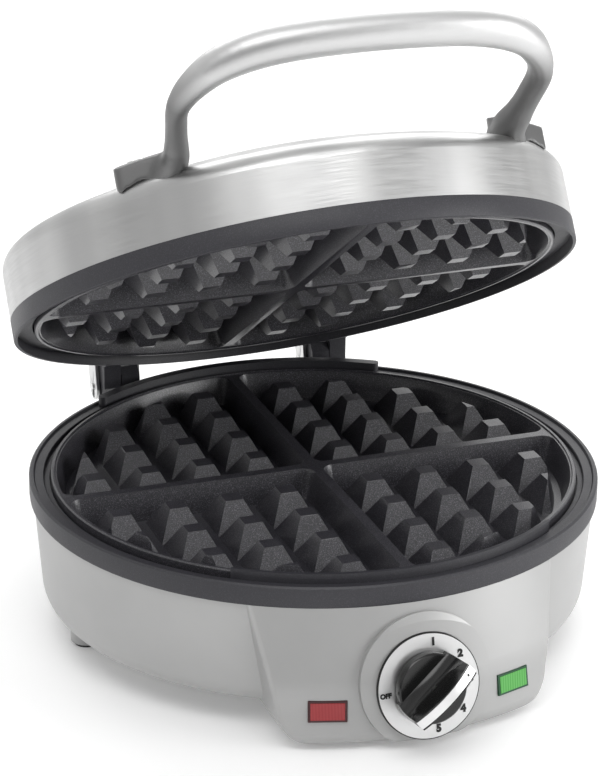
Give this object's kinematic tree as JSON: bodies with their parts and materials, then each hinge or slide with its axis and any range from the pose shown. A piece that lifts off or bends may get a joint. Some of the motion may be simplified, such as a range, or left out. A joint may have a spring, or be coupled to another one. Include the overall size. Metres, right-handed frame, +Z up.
{
  "type": "belgian waffle maker",
  "caption": "Round countertop waffle maker: hinged brushed lid with an arched handle, deep quartered plates and a front pod with dial and lamps.",
  "frame": {"origin": "on the worktop, on the centre line of the lower waffle plate", "axes": "+Z up, +X to the right seen from the front, the control pod faces -Y"},
  "size_m": [0.245, 0.2983, 0.2862],
  "materials": {
    "housing_plastic": "matte silver paint",
    "rim_plastic": "matte charcoal",
    "nonstick": "satin black coating",
    "element_steel": "oxidised",
    "reflector_steel": "satin",
    "zinc_steel": "satin",
    "cover_steel": "satin",
    "lid_steel": "brushed round the band",
    "handle_metal": "satin",
    "rubber": "matte",
    "dial_metal": "bright satin",
    "black_gloss": "gloss",
    "black_plastic": "matte",
    "red_lens": "gloss",
    "green_lens": "gloss",
    "lamp_plastic": "gloss",
    "ceramic": "matte",
    "pin_steel": "satin"
  },
  "bodies": {
    "base": {"base_housing": "housing_plastic", "base_rim": "rim_plastic", "lower_plate": "nonstick", "lower_element": "element_steel", "lower_reflector": "reflector_steel", "lower_plate_screws": "zinc_steel", "bottom_cover": "cover_steel", "bottom_cover_screws": "zinc_steel", "leg_pads": "rubber", "pod_pads": "rubber", "cord_gland": "black_plastic", "hinge_pin_right": "pin_steel", "hinge_pin_left": "pin_steel", "dial_ring": "dial_metal", "thermostat_body": "ceramic", "thermostat_bracket": "zinc_steel", "thermostat_screws": "zinc_steel", "heating_lamp_frame": "black_plastic", "heating_lamp_lens": "red_lens", "heating_lamp": "lamp_plastic", "ready_lamp_frame": "black_plastic", "ready_lamp_lens": "green_lens", "ready_lamp": "lamp_plastic", "terminal_block": "ceramic"},
    "lid": {"lid_cover": "lid_steel", "lid_rim": "rim_plastic", "upper_plate": "nonstick", "upper_element": "element_steel", "upper_reflector": "reflector_steel", "upper_plate_screws": "zinc_steel", "lid_hinge_right": "zinc_steel", "lid_hinge_left": "zinc_steel", "lid_hinge_screws": "zinc_steel", "handle": "handle_metal", "handle_gasket_right": "rubber", "handle_gasket_left": "rubber", "handle_screws": "zinc_steel", "handle_nuts": "zinc_steel"},
    "knob": {"knob": "black_gloss", "knob_strip": "dial_metal", "thermostat_shaft": "zinc_steel"}
  },
  "joints": [
    {"name": "lid_hinge", "type": "hinge", "parent": "base", "child": "lid", "pos_m": [0, 0.129, 0.0638], "axis": [-1, 0, 0], "range_deg": [-32.8, 67]},
    {"name": "knob_turn", "type": "hinge", "parent": "base", "child": "knob", "pos_m": [0, -0.13126, 0.026], "axis": [0, 0.9781, -0.2079], "range_deg": [-148, 120]}
  ]
}
